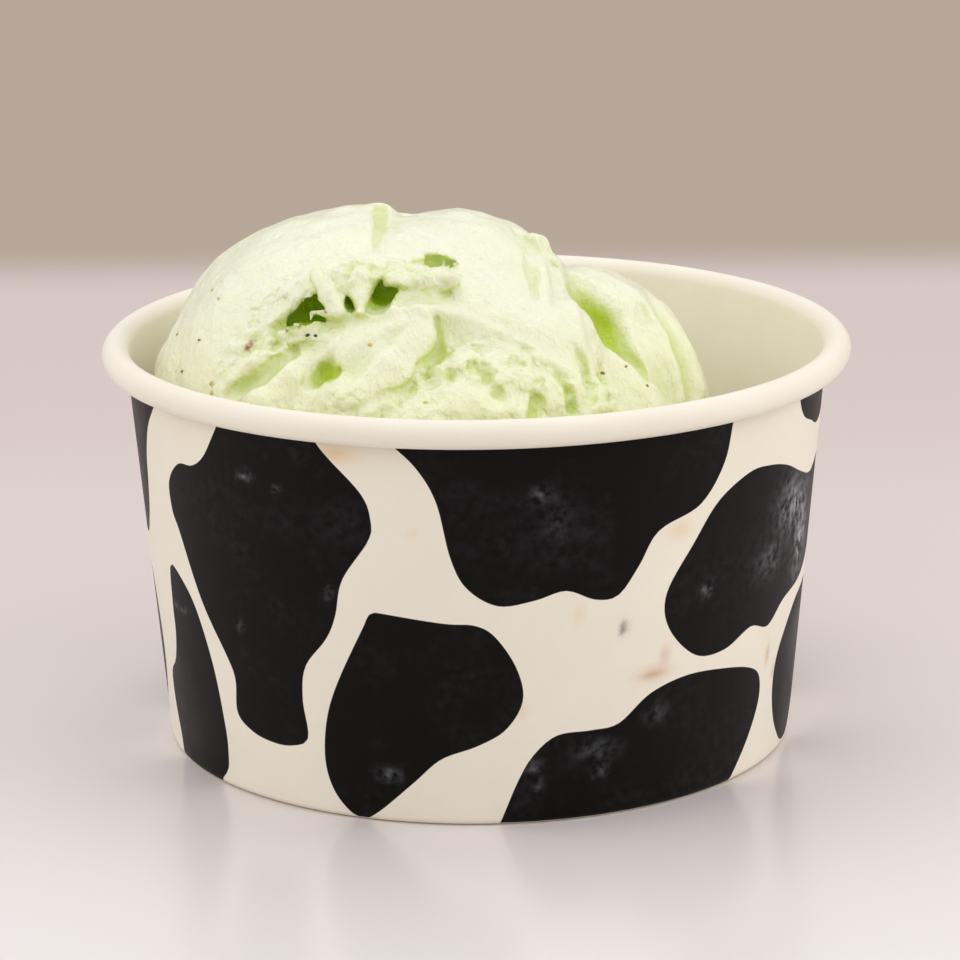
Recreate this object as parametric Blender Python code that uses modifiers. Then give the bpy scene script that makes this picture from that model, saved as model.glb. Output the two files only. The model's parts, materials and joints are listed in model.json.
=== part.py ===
"""A paper cup of gelato: a tapered paperboard wall with a rolled rim, a recessed
paperboard bottom, and one mass of gelato that fills the cup and is mounded above it.

Blender's units are metres, +Z is up, and the origin is the centre of the foot.
The sizes below are in millimetres, and each mesh is scaled once, when it is made.
Run with: blender --background --python part.py
"""
from math import cos, pi, radians, sin

import bmesh
import bpy
import numpy as np

MM = 0.001

# The cup: a 180 ml tub
RIM_DIAMETER = 90.0
FOOT_DIAMETER = 76.0
CUP_HEIGHT = 49.5
PAPER = 0.45
GAP = 0.3
ROLL_RADIUS = 1.65
ROLL_STEPS = 13
ROLL_STEP_DEGREES = 22.5
BOTTOM_RECESS = 5.5
BOTTOM_BEND = 0.9
HEM_HEIGHT = 4.4
TURN_STEPS = 48
FOLD_STEPS = 5
BEND_STEPS = 3
SKIRT_LIFT = 0.1
MERGE_REACH = 0.001

# The fill under the mound: it drops towards +X, and banks up in front and behind
FILL_LEVEL = 30.0
FILL_LEAN = 0.17
FILL_BANK = 0.0035
FILL_WAVE = 0.6
FILL_WAVE_ACROSS = 0.23
FILL_WAVE_START = 1
FILL_WAVE_ALONG = 0.31

# How wide the fillets are where the gelato's forms meet
FILL_FILLET = 3.0
FRONT_FILLET = 5.0
SCOOP_FILLET = 2.0
STEP_FILLET = 1.0
PETAL_FILLET = 1.0
RIDGE_FILLET = 1.2
BACK_FILLET = 1.5
UNDERCUT_FILLET = 0.5
HOLE_FILLET = 0.4
LOBE_FILLET = 3.0
RIB_FILLET = 0.6
LOBE_SEAT_FILLET = 0.7
VALLEY_FILLET = 1.0

# The ball that takes the gelato's form, and how many triangles are left of it
HEART = (-4.0, 0.0, 14.0)
BALL_RADIUS = 10
BALL_COLUMNS = 200
BALL_ROWS = 110
REACH = 62.0
CAST_STEPS = 80
CAST_HALVINGS = 16
RELAX_ROUNDS = 14
RELAX_SHARE = 0.5
DRAW_ROUNDS = 2
LAST_DRAW_ROUNDS = 4
NUDGE = 0.05
LEAST_SLOPE = 0.2
GELATO_TRIANGLES = 4700
CREASE_DEGREES = 60

# The finishes: a colour, and how rough it is
WALL_FINISH = ((0.84, 0.80, 0.70), 0.45)
BOTTOM_FINISH = ((0.80, 0.76, 0.67), 0.6)
GELATO_FINISH = ((0.82, 0.88, 0.58), 0.4)

rim_radius = RIM_DIAMETER / 2
foot_radius = FOOT_DIAMETER / 2
roll_centre = rim_radius - ROLL_RADIUS
roll_height = CUP_HEIGHT - ROLL_RADIUS
inner_top = roll_centre - ROLL_RADIUS
inner_foot = foot_radius - PAPER
taper = (inner_top - inner_foot) / roll_height
disc_top = BOTTOM_RECESS + PAPER
facet_sag = 1 - cos(pi / TURN_STEPS)


def inner_radius(z):
    """Radius of the wall's inner face at a height."""
    return inner_foot + taper * z


def arc(centre, radius, start, end, steps):
    """Points of an arc, with its angles in degrees from +X towards +Z."""
    turns = [radians(start + (end - start) * i / steps) for i in range(steps + 1)]
    return [(centre[0] + radius * cos(a), centre[1] + radius * sin(a)) for a in turns]


def principled(name, colour, roughness):
    material = bpy.data.materials.new(name)
    material.use_nodes = True
    shader = material.node_tree.nodes["Principled BSDF"]
    shader.inputs["Base Color"].default_value = (*colour, 1.0)
    shader.inputs["Roughness"].default_value = roughness
    shader.inputs["Metallic"].default_value = 0.0
    return material


def turned_paper(name, profile, material):
    """A sheet of paper turned round Z. The profile is one face, and the paper lies behind it."""
    mesh = bpy.data.meshes.new(name)
    points = [(x * MM, 0.0, z * MM) for x, z in profile]
    mesh.from_pydata(points, [(i, i + 1) for i in range(len(points) - 1)], [])
    mesh.materials.append(material)
    sheet = bpy.data.objects.new(name, mesh)
    parts.objects.link(sheet)
    turn = sheet.modifiers.new("turn", "SCREW")
    turn.angle = 2 * pi
    turn.steps = TURN_STEPS
    turn.render_steps = TURN_STEPS
    turn.use_merge_vertices = True
    turn.merge_threshold = MERGE_REACH * MM
    turn.use_smooth_shade = True
    paper = sheet.modifiers.new("paper", "SOLIDIFY")
    paper.thickness = PAPER * MM
    paper.offset = -1.0
    paper.use_even_offset = True
    return sheet


for old in list(bpy.data.objects):
    bpy.data.objects.remove(old, do_unlink=True)
parts = bpy.data.collections.new("gelato_cup")
bpy.context.scene.collection.children.link(parts)

# The wall's inner face, from the hem's top, down and round under the foot, up the
# inside of the cup, and over into the rim, which is rolled outwards and down.
fold_radius = (PAPER + 2 * GAP) / 2
fold_height = PAPER + fold_radius * cos(pi / FOLD_STEPS / 2)
fold_centre = inner_radius(fold_height) - fold_radius
hem_top = (fold_centre - fold_radius + taper * (HEM_HEIGHT - fold_height), HEM_HEIGHT)
foot_fold = arc((fold_centre, fold_height), fold_radius, -180, 0, FOLD_STEPS)
roll_end = 180 - ROLL_STEPS * ROLL_STEP_DEGREES
rim_roll = arc((roll_centre, roll_height), ROLL_RADIUS, 180, roll_end, ROLL_STEPS)
wall_profile = [hem_top] + foot_fold + rim_roll
wall_paper = principled("coated_paperboard", *WALL_FINISH)
cup_wall = turned_paper("cup_wall", wall_profile, wall_paper)

# The bottom is a shallow dish upside down: its flat face is recessed above the table,
# and its skirt goes down between the wall and the hem.
skirt_foot = fold_height + SKIRT_LIFT
skirt_top = disc_top - BOTTOM_BEND
bend_centre = (inner_radius(skirt_top) - GAP - BOTTOM_BEND, skirt_top)
disc_bend = arc(bend_centre, BOTTOM_BEND, 90, 0, BEND_STEPS)
skirt_end = (inner_radius(skirt_foot) - GAP, skirt_foot)
base_profile = [(0.0, disc_top)] + disc_bend + [skirt_end]
base_paper = principled("bottom_paperboard", *BOTTOM_FINISH)
cup_base = turned_paper("cup_base", base_profile, base_paper)

# The gelato's forms, in millimetres. An ellipsoid has a centre and half-widths, and a
# bead is a string of points, each with its radius, that a round tool would fill.
CAP = ((-14.0, -1.0, 37.5), (26.0, 26.5, 27.4))
CORE = ((-6.5, 0.0, 28.0), (32.0, 33.0, 24.0))
FRONT = ((-4.0, -13.5, 32.0), (26.0, 19.5, 16.5))
PEAK = [(-3.2, 2.0, 46.6, 17.0), (10.4, -5.0, 30.6, 15.2)]
SUMMIT_STEP = [
    (-8.6, 12, 66.6, 2.4), (-8.8, 2, 66.7, 2.6), (-10.6, -5, 65.7, 2.2), (-12.3, -11, 63.2, 0.6),
]

# Petals that the spade has folded up the front, from the rim to the left of the middle
PETALS = [
    [(-28.3, -18.3, 45.5, 3.0), (-26.0, -19.0, 48.0, 3.3), (-23.5, -19.2, 49.6, 2.6)],
    [(-25.0, -22.0, 46.0, 2.2), (-21.0, -22.3, 48.6, 2.4), (-18.4, -21.5, 50.6, 2.0)],
    [(-19.5, -23.0, 45.2, 3.2), (-17.0, -22.0, 48.6, 3.9), (-14.0, -19.7, 51.6, 4.0),
     (-10.5, -18.7, 53.0, 3.8), (-6.0, -16.8, 53.4, 3.0)],
    [(-14.0, -25.5, 42.0, 4.4), (-9.0, -23.0, 46.0, 4.2), (-5.0, -20.5, 48.6, 3.6),
     (-1.0, -17.0, 49.8, 2.4)],
    [(-4.0, -25.5, 41.0, 4.0), (0.5, -22.0, 45.2, 3.8), (4.0, -17.5, 48.0, 2.6)],
    [(-25.5, -18.5, 51.2, 2.4), (-19.0, -18.6, 53.2, 2.4)],
]
FLANK_RIDGES = [
    [(4.3, -1, 56.5, 3.0), (6.0, -6, 53.5, 3.0), (8.8, -13, 48.5, 3.2), (10.8, -18, 44.0, 3.4)],
    [(8.6, 1.5, 53, 2.6), (10.8, -5, 49.3, 3.0), (12.8, -10, 46.0, 3.2), (15.6, -16, 41.0, 3.4)],
    [(11.6, -1, 49.6, 2.2), (15.8, -4, 46.2, 3.0), (20.2, -6, 41.0, 3.2), (22.5, -8, 35.0, 3.4)],
]
BACK_FOLDS = [
    [(-3, 9, 50.5, 9.0), (0, 17, 42, 11.0), (2, 19, 30, 12.0)],
    [(-19, 8, 49.0, 10.0), (-21, 14, 40, 12.0), (-20, 16, 30, 13.0)],
]

# The hollow under the cap's torn edge, the holes that run in from it, and small pits
UNDERCUT = [
    (-28.5, -19.5, 49.5, 0.6), (-25.6, -20.0, 52.6, 1.2), (-22.5, -19.6, 54.9, 1.8),
    (-19.0, -18.8, 56.5, 2.3), (-15.5, -18.6, 57.2, 1.5), (-11.0, -18.0, 57.9, 2.2),
    (-7.0, -17.6, 57.2, 1.3), (-3.0, -16.6, 57.0, 1.0), (0.0, -14.5, 57.9, 0.3),
]
HOLES = [
    [(-22.0, -17.5, 55.2, 1.8), (-19.0, -16.0, 56.0, 2.3), (-17.0, -15.5, 56.4, 1.8)],
    [(-11.0, -18.5, 57.6, 2.2), (-10.8, -13.0, 57.6, 2.0)],
    [(-6.6, -11.8, 60.6, 0.7), (-5.0, -11.5, 60.2, 1.4), (-2.6, -11.3, 59.9, 0.8)],
    [(-20.0, -25.0, 49.0, 0.8), (-17.8, -25.3, 49.4, 1.4), (-16.2, -25.0, 50.2, 0.8)],
    [(7.6, -19.5, 48.5, 0.8), (6.6, -23.5, 45.5, 1.9), (6.4, -26.0, 42.0, 2.2)],
]

# The lobe wraps round the right side behind a deep valley, and ribs run down it
LOBE = ((11.5, 7.5, 38.0), (16.6, 17.0, 17.2))
LOBE_ENDS = [(5.0, 17.0, 35.0, 13.5), (13.0, 6.0, 33.0, 15.0), (15.5, -5.0, 29.0, 12.5)]
LOBE_RIBS = [
    [(14.0, 6.0, 53.2, 2.4), (20.5, 3.0, 49.3, 2.6), (24.3, 1.0, 43.5, 2.6), (25.3, 0.0, 37.0, 2.6)],
    [(14.0, 1.5, 52.0, 2.4), (19.0, -2.0, 46.5, 2.5), (22.0, -4.0, 39.0, 2.4)],
]
LOBE_GROOVE = [
    (16.0, 4.5, 55.2, 0.9), (21.8, 0.0, 49.9, 1.2), (26.2, -2.8, 42.5, 1.2), (27.4, -3.2, 36.0, 1.2),
]
VALLEY = [
    (10.6, 9.0, 57.5, 2.8), (12.2, 4.0, 54.5, 2.6), (16.8, 1.0, 50.4, 2.3),
    (21.4, -1.5, 45.5, 1.9), (24.4, -3.5, 40.0, 1.4),
]


def ellipsoid(points, centre, halves):
    """Near distance from each point to an ellipsoid, below zero inside it."""
    scaled = (points - np.array(centre)) / np.array(halves)
    reach = np.linalg.norm(scaled, axis=1)
    slope = np.linalg.norm(scaled / np.array(halves), axis=1)
    return reach * (reach - 1) / np.maximum(slope, 1e-9)


def bead(points, string):
    """Distance from each point to a string of tapering round beads."""
    nearest = np.full(len(points), np.inf)
    for (*start, start_radius), (*end, end_radius) in zip(string, string[1:]):
        along = np.subtract(end, start)
        share = np.clip((points - start) @ along / (along @ along), 0, 1)
        away = np.linalg.norm(points - start - share[:, None] * along, axis=1)
        nearest = np.minimum(nearest, away - start_radius - share * (end_radius - start_radius))
    return nearest


def blended(a, b, width):
    """The lower of two distances, with a fillet of about the width where they meet."""
    share = np.clip(0.5 + 0.5 * (b - a) / width, 0, 1)
    return b + share * (a - b) - width * share * (1 - share)


def carved(a, tool, width):
    """What is left of a solid when the tool's shape is taken from it."""
    return -blended(-a, tool, width)


def beads(points, strings):
    return np.minimum.reduce([bead(points, string) for string in strings])


def mound(points):
    """Distance to the gelato above the rim, with its folds, holes and valley."""
    body = blended(ellipsoid(points, *CORE), ellipsoid(points, *FRONT), FRONT_FILLET)
    body = blended(body, ellipsoid(points, *CAP), SCOOP_FILLET)
    body = blended(body, bead(points, PEAK), SCOOP_FILLET)
    body = carved(body, bead(points, SUMMIT_STEP), STEP_FILLET)
    body = blended(body, beads(points, PETALS), PETAL_FILLET)
    body = blended(body, beads(points, FLANK_RIDGES), RIDGE_FILLET)
    body = blended(body, beads(points, BACK_FOLDS), BACK_FILLET)
    body = carved(body, bead(points, UNDERCUT), UNDERCUT_FILLET)
    body = carved(body, beads(points, HOLES), HOLE_FILLET)
    lobe = blended(ellipsoid(points, *LOBE), bead(points, LOBE_ENDS), LOBE_FILLET)
    lobe = blended(lobe, beads(points, LOBE_RIBS), RIB_FILLET)
    lobe = carved(lobe, bead(points, LOBE_GROOVE), RIB_FILLET)
    body = blended(body, lobe, LOBE_SEAT_FILLET)
    return carved(body, bead(points, VALLEY), VALLEY_FILLET)


def gelato_distance(points):
    """The mound, joined to the fill below it, and kept clear of the cup's paper."""
    x, y, z = points.T
    level = FILL_LEVEL - FILL_LEAN * x + FILL_BANK * y**2
    level += FILL_WAVE * (np.sin(x * FILL_WAVE_ACROSS + FILL_WAVE_START) + np.cos(y * FILL_WAVE_ALONG))
    solid = blended(mound(points), z - level, FILL_FILLET)
    wall = np.hypot(x, y) - inner_radius(z) * (1 - facet_sag) + GAP
    return np.maximum.reduce([solid, wall, disc_top + GAP - z])


def coordinates(mesh):
    """A mesh's vertices, in millimetres."""
    places = np.empty(len(mesh.vertices) * 3, dtype=np.float32)
    mesh.vertices.foreach_get("co", places)
    return places.reshape(-1, 3).astype(float) / MM


def place_vertices(mesh, points):
    mesh.vertices.foreach_set("co", (points * MM).astype(np.float32).ravel())
    mesh.update()


def cast_from_heart(mesh):
    """Send each vertex of the ball out along its ray to the gelato's outermost face."""
    rays = coordinates(mesh) - HEART
    rays /= np.linalg.norm(rays, axis=1)[:, None]
    inside = np.zeros(len(rays))
    outside = np.full(len(rays), REACH)
    for share in np.linspace(1, 0, CAST_STEPS)[1:]:
        solid = gelato_distance(HEART + rays * REACH * share) < 0
        inside = np.where(solid & (inside == 0), REACH * share, inside)
        outside = np.where(inside == 0, REACH * share, outside)
    for _ in range(CAST_HALVINGS):
        middle = (inside + outside) / 2
        solid = gelato_distance(HEART + rays * middle[:, None]) < 0
        inside = np.where(solid, middle, inside)
        outside = np.where(solid, outside, middle)
    place_vertices(mesh, HEART + rays * inside[:, None])


def draw_to_form(mesh, rounds):
    """Move each vertex along the slope of the distance, onto the gelato's face."""
    points = coordinates(mesh)
    for _ in range(rounds):
        here = gelato_distance(points)
        sides = [gelato_distance(points + NUDGE * axis) - here for axis in np.eye(3)]
        slope = np.stack(sides, axis=1) / NUDGE
        steepness = np.maximum((slope**2).sum(axis=1), LEAST_SLOPE)
        points -= slope * (here / steepness)[:, None]
    place_vertices(mesh, points)


# The gelato starts as a ball round the heart. It is cast to its form and relaxed, so that
# its faces spread evenly into the hollows, and is then thinned to the folds that matter.
ball = bmesh.new()
bmesh.ops.create_uvsphere(ball, u_segments=BALL_COLUMNS, v_segments=BALL_ROWS, radius=BALL_RADIUS * MM)
bmesh.ops.translate(ball, verts=ball.verts, vec=[c * MM for c in HEART])
bmesh.ops.triangulate(ball, faces=ball.faces)
ball_mesh = bpy.data.meshes.new("gelato_ball")
ball.to_mesh(ball_mesh)
cast_from_heart(ball_mesh)
for _ in range(RELAX_ROUNDS):
    ball.clear()
    ball.from_mesh(ball_mesh)
    bmesh.ops.smooth_vert(ball, verts=ball.verts, factor=RELAX_SHARE,
                          use_axis_x=True, use_axis_y=True, use_axis_z=True)
    ball.to_mesh(ball_mesh)
    draw_to_form(ball_mesh, DRAW_ROUNDS)
ball.free()
gelato = bpy.data.objects.new("gelato", ball_mesh)
parts.objects.link(gelato)
thin = gelato.modifiers.new("thin", "DECIMATE")
thin.ratio = GELATO_TRIANGLES / len(ball_mesh.polygons)
bpy.context.view_layer.update()
evaluated = gelato.evaluated_get(bpy.context.evaluated_depsgraph_get())
gelato_mesh = bpy.data.meshes.new_from_object(evaluated)
gelato_mesh.name = "gelato"
gelato.modifiers.clear()
gelato.data = gelato_mesh
bpy.data.meshes.remove(ball_mesh)
draw_to_form(gelato_mesh, LAST_DRAW_ROUNDS)
gelato_mesh.shade_smooth()
gelato_mesh.set_sharp_from_angle(angle=radians(CREASE_DEGREES))
gelato_mesh.materials.append(principled("pistachio_gelato", *GELATO_FINISH))
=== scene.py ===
import json
from math import atan, cos, degrees, pi, radians, sin

import bmesh
import bpy
import numpy as np
from mathutils import Euler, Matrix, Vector

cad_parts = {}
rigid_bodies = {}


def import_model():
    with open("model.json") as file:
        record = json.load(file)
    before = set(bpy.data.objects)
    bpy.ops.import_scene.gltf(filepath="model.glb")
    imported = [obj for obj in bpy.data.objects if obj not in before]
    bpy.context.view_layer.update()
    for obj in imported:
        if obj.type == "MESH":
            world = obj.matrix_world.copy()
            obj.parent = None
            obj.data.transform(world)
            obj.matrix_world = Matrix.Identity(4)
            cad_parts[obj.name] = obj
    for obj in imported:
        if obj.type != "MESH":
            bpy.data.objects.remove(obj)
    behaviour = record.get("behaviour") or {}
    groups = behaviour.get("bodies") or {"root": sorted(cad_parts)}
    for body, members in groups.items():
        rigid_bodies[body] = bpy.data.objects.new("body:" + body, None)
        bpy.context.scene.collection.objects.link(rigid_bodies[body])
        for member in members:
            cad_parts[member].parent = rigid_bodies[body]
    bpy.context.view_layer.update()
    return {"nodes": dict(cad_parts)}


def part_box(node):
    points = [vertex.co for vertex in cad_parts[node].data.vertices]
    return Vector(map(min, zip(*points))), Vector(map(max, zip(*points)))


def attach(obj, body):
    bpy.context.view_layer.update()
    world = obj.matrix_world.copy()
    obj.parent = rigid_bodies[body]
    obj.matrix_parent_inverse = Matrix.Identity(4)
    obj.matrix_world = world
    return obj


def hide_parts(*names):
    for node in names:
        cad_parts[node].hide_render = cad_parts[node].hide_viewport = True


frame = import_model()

MM = 0.001

# ---------------------------------------------------------------- the cup's wall
# The wall is one sheet of paperboard, printed with black cow patches, coated with a thin
# film of plastic and wrapped into a cone. Its top edge is rolled outwards over a die into
# the rim, and its foot is folded in and up as a hem that grips the bottom.
RIM_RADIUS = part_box("cup_wall")[1].x / MM
CUP_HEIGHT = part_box("cup_wall")[1].z / MM
FOOT_RADIUS = 38.0
PAPER = 0.45
GLUE_GAP = 0.3
ROLL_RADIUS = 1.65
ROLL_STEPS = 26
ROLL_STEP = radians(11.25)
HEM_HEIGHT = 4.4
WALL_COLUMNS = 360
WALL_ROWS = 62
roll_centre = RIM_RADIUS - ROLL_RADIUS
roll_height = CUP_HEIGHT - ROLL_RADIUS
inner_foot = FOOT_RADIUS - PAPER
taper = (roll_centre - ROLL_RADIUS - inner_foot) / roll_height


def inner_radius(z):
    return inner_foot + taper * z


def arc(centre, radius, start, step, steps):
    turns = [start + step * i for i in range(steps + 1)]
    return [(centre[0] + radius * cos(a), centre[1] + radius * sin(a)) for a in turns]


def raise_ring(points, columns):
    """Turn a profile by extruding a circle from point to point, as on a lathe."""
    bpy.ops.object.select_all(action="DESELECT")
    radius, height = points[0]
    bpy.ops.mesh.primitive_circle_add(vertices=columns, radius=radius * MM, location=(0, 0, height * MM))
    ring = bpy.context.object
    bpy.ops.object.transform_apply(location=True)
    bpy.ops.object.mode_set(mode="EDIT")
    bpy.ops.mesh.select_all(action="SELECT")
    for new_radius, new_height in points[1:]:
        bpy.ops.mesh.extrude_edges_move(
            TRANSFORM_OT_translate={"value": (0, 0, (new_height - height) * MM)})
        bpy.ops.transform.resize(value=(new_radius / radius, new_radius / radius, 1))
        radius, height = new_radius, new_height
    bpy.ops.object.mode_set(mode="OBJECT")
    return ring


def get_points(mesh):
    """A mesh's vertices in millimetres."""
    flat = np.empty(len(mesh.vertices) * 3, dtype=np.float32)
    mesh.vertices.foreach_get("co", flat)
    return flat.reshape(-1, 3).astype(float) / MM


def set_points(mesh, points):
    mesh.vertices.foreach_set("co", (points * MM).astype(np.float32).ravel())
    mesh.update()


def paint(mesh, name, values):
    """Keep a number for each vertex, which a material reads as an attribute."""
    layer = mesh.attributes.new(name, "FLOAT", "POINT")
    layer.data.foreach_set("value", np.asarray(values, dtype=np.float32))


fold_radius = (PAPER + 2 * GLUE_GAP) / 2
fold_height = PAPER + fold_radius + 0.02
fold_centre = inner_radius(fold_height) - fold_radius
hem_top = (fold_centre - fold_radius + taper * (HEM_HEIGHT - fold_height), HEM_HEIGHT)
foot_fold = arc((fold_centre, fold_height), fold_radius, -pi, pi / 8, 8)
wall_heights = np.linspace(fold_height, roll_height, WALL_ROWS + 1)[1:-1]
wall_rise = [(inner_radius(z), z) for z in wall_heights]
rim_roll = arc((roll_centre, roll_height), ROLL_RADIUS, pi, -ROLL_STEP, ROLL_STEPS)
wall = raise_ring([hem_top] + foot_fold + wall_rise + rim_roll, WALL_COLUMNS)
wall.name = wall.data.name = "printed_wall"
paper_coat = wall.modifiers.new("paper", "SOLIDIFY")
paper_coat.thickness = PAPER * MM
paper_coat.offset = 1.0
paper_coat.use_even_offset = True
bpy.ops.object.modifier_apply(modifier="paper")

# Each patch is a rounded outline on the unrolled wall: degrees round the cup from the
# front, positive to the right, and millimetres above the table. The rim hides heights
# over 46 mm, and the fold under the foot hides those below 0.
PATCHES = [
    [(-40.5, 50), (-45.5, 45), (-49, 41.5), (-52.5, 39.8), (-57, 39.3), (-61, 36.5), (-61, 33),
     (-59, 30.5), (-54, 23), (-48.3, 17.2), (-46.5, 14.4), (-46.8, 10.3), (-43.5, 8.5), (-39, 7.8),
     (-34.5, 7.9), (-30.8, 9.3), (-31.3, 14), (-30.3, 18.2), (-26, 22), (-24, 25), (-22.4, 29.5),
     (-17.6, 34.5), (-17, 37), (-18.5, 40.2), (-24.8, 45), (-30, 50)],
    [(-27.6, 6.5), (-25.8, 2.7), (-21.7, 0.2), (-18.3, 1.1), (-11.6, 5.2), (-6.7, 8.3), (-0.5, 10),
     (4.3, 12), (7.1, 15.5), (6, 19.5), (2.5, 23.4), (-0.8, 24.8), (-5.5, 25), (-16, 25.9),
     (-18, 25.7), (-19.2, 24), (-24.7, 16.3), (-27, 11.5)],
    [(-18, 50), (-13.8, 46.6), (-9.5, 43.5), (-6.5, 39.5), (-4.5, 33), (-2, 29.3), (3, 27.1), (9, 27.6),
     (14, 28.5), (19, 27.1), (23, 27.3), (26.5, 30.5), (30, 34.4), (38, 36.6), (42.6, 41), (44, 46),
     (45.5, 50)],
    [(49, 38.8), (55, 38.7), (61, 37.7), (67.5, 35.8), (74, 34.5), (81, 35.4), (89, 35.5), (93, 31),
     (89, 26), (82, 23.4), (74, 21.4), (65, 20.4), (59, 18.2), (53, 19.2), (46, 17.6), (39, 18),
     (33, 22), (32, 26.5), (37, 32), (42, 36.5)],
    [(0.5, -3), (3, 0), (6.3, 5.5), (9, 8.7), (13, 10.9), (19, 11.1), (24, 11.5), (30, 14.6), (38, 15.8),
     (48, 15), (55, 13.6), (57.8, 11.8), (58, 8.7), (55, 4.5), (50, 0), (47, -3)],
    [(-64.8, 25.5), (-60.5, 24.6), (-56.2, 21.5), (-52.5, 15), (-50.7, 7.5), (-50.7, 4.2), (-51.3, 2.2),
     (-53.8, 0.3), (-56, -3), (-68, -3), (-70.5, 3.2), (-72, 7.2), (-71.6, 10.8), (-68.2, 13),
     (-66.3, 16.5), (-66, 20.5)],
    [(-61, 50), (-62, 46.5), (-64.5, 44.6), (-68.2, 41.8), (-71, 38), (-72.5, 34), (-75, 29.8),
     (-80, 26.8), (-90, 28.5), (-98, 34), (-101, 41), (-98, 50)],
    [(83, 19.8), (77, 19.6), (72, 18.7), (67.2, 16), (64.2, 13), (63.7, 9.2), (65.4, 5.5), (68.4, 2.8),
     (72.2, 1), (77.5, 1.2), (81, 3.2), (86, 7), (92, 11), (92, 17)],
    [(62.5, 50), (63.8, 45.3), (66.5, 42.7), (71, 41.4), (77, 40.2), (86, 42), (93, 50)],
    [(100, 49), (103, 41), (112, 36.5), (122, 38.5), (131, 43.5), (134, 49)],
    [(95, 29), (104, 25.5), (114, 24), (126, 26), (131, 31.5), (124, 34.8), (110, 32), (100, 35)],
    [(103, -2), (107, 9), (118, 15.5), (131, 16.5), (140, 10.5), (139, 3), (132, -2)],
    [(138, 36), (142, 27), (150, 21), (162, 20), (169, 27), (168, 36), (160, 43), (147, 44)],
    [(148, -2), (152, 8.5), (163, 13), (176, 11), (184, 4.5), (183, -2)],
    [(173, 49), (176, 42.5), (186, 38.5), (197, 40), (206, 43.5), (211, 49)],
    [(176, 31), (182, 22), (194, 17), (207, 20), (212, 28), (207, 35), (195, 33.5), (184, 35)],
    [(193, -2), (196, 7), (205, 12), (217, 12.5), (226, 6), (226, -2)],
    [(217, 37), (221, 27), (231, 20), (243, 18.5), (250, 25), (247, 35), (239, 42.5), (226, 44)],
    [(234, -2), (238, 8), (248, 12.5), (257, 9), (261, 3), (259, -2)],
    [(264, 19.5), (271, 23.5), (279, 21.5), (283, 13), (279, 6), (270, 3.5), (263, 9.5)],
]
OUTLINE_STEPS = 8
print_radius = inner_radius(CUP_HEIGHT / 2) + PAPER
mm_per_degree = radians(print_radius)


def rounded(outline, steps):
    """A closed smooth curve through an outline's points (Catmull-Rom)."""
    p = np.array(outline, dtype=float) * (mm_per_degree, 1)
    before, after, beyond = np.roll(p, 1, 0), np.roll(p, -1, 0), np.roll(p, -2, 0)
    curve = [0.5 * (2 * p + (after - before) * t + (2 * before - 5 * p + 4 * after - beyond) * t**2
                    + (3 * p - before - 3 * after + beyond) * t**3) for t in np.arange(steps) / steps]
    return np.stack(curve, axis=1).reshape(-1, 2)


def outline_distance(points, curve):
    """Distance of flat points to a closed curve, below zero inside it."""
    nearest = np.full(len(points), np.inf)
    crossings = np.zeros(len(points), dtype=int)
    for a, b in zip(curve, np.roll(curve, -1, 0)):
        along = b - a
        share = np.clip((points - a) @ along / (along @ along), 0, 1)
        nearest = np.minimum(nearest, np.linalg.norm(points - a - share[:, None] * along, axis=1))
        spans = (a[1] > points[:, 1]) != (b[1] > points[:, 1])
        reach = a[0] + (points[:, 1] - a[1]) * along[0] / (along[1] if along[1] else 1)
        crossings += spans & (points[:, 0] < reach)
    return np.where(crossings % 2, -nearest, nearest)


places = get_points(wall.data)
around = np.degrees(np.arctan2(places[:, 0], -places[:, 1]))
proud = np.hypot(places[:, 0], places[:, 1]) - inner_radius(places[:, 2]) - PAPER
printed = np.flatnonzero((proud > -PAPER / 2) & (proud < PAPER) & (places[:, 2] < roll_height + PAPER))
ink_edge = np.full(len(places), 9.0)
flat = np.stack([around[printed] * mm_per_degree, places[printed, 2]], axis=1)
for patch in PATCHES:
    curve = rounded(patch, OUTLINE_STEPS)
    for turn in (0, -360, 360):
        shifted = curve + (turn * mm_per_degree, 0)
        if shifted[:, 0].min() < 182 * mm_per_degree and shifted[:, 0].max() > -182 * mm_per_degree:
            ink_edge[printed] = np.minimum(ink_edge[printed], outline_distance(flat, shifted))
paint(wall.data, "ink_edge", ink_edge)

# At the back the blank's end laps over its start and is glued down
SEAM_START = 158.0
SEAM_END = 171.5
SEAM_STEP = 0.35
lap = np.where(around < SEAM_END, np.clip((around - SEAM_START) / (SEAM_END - SEAM_START), 0, 1), 0)
lap *= np.clip(places[:, 2] - PAPER, 0, 1) * np.clip(roll_height - PAPER - places[:, 2], 0, 1)
lap[np.setdiff1d(np.arange(len(places)), printed)] = 0
places[:, :2] *= 1 + (SEAM_STEP * lap**2 / np.hypot(places[:, 0], places[:, 1]))[:, None]
set_points(wall.data, places)

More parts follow.
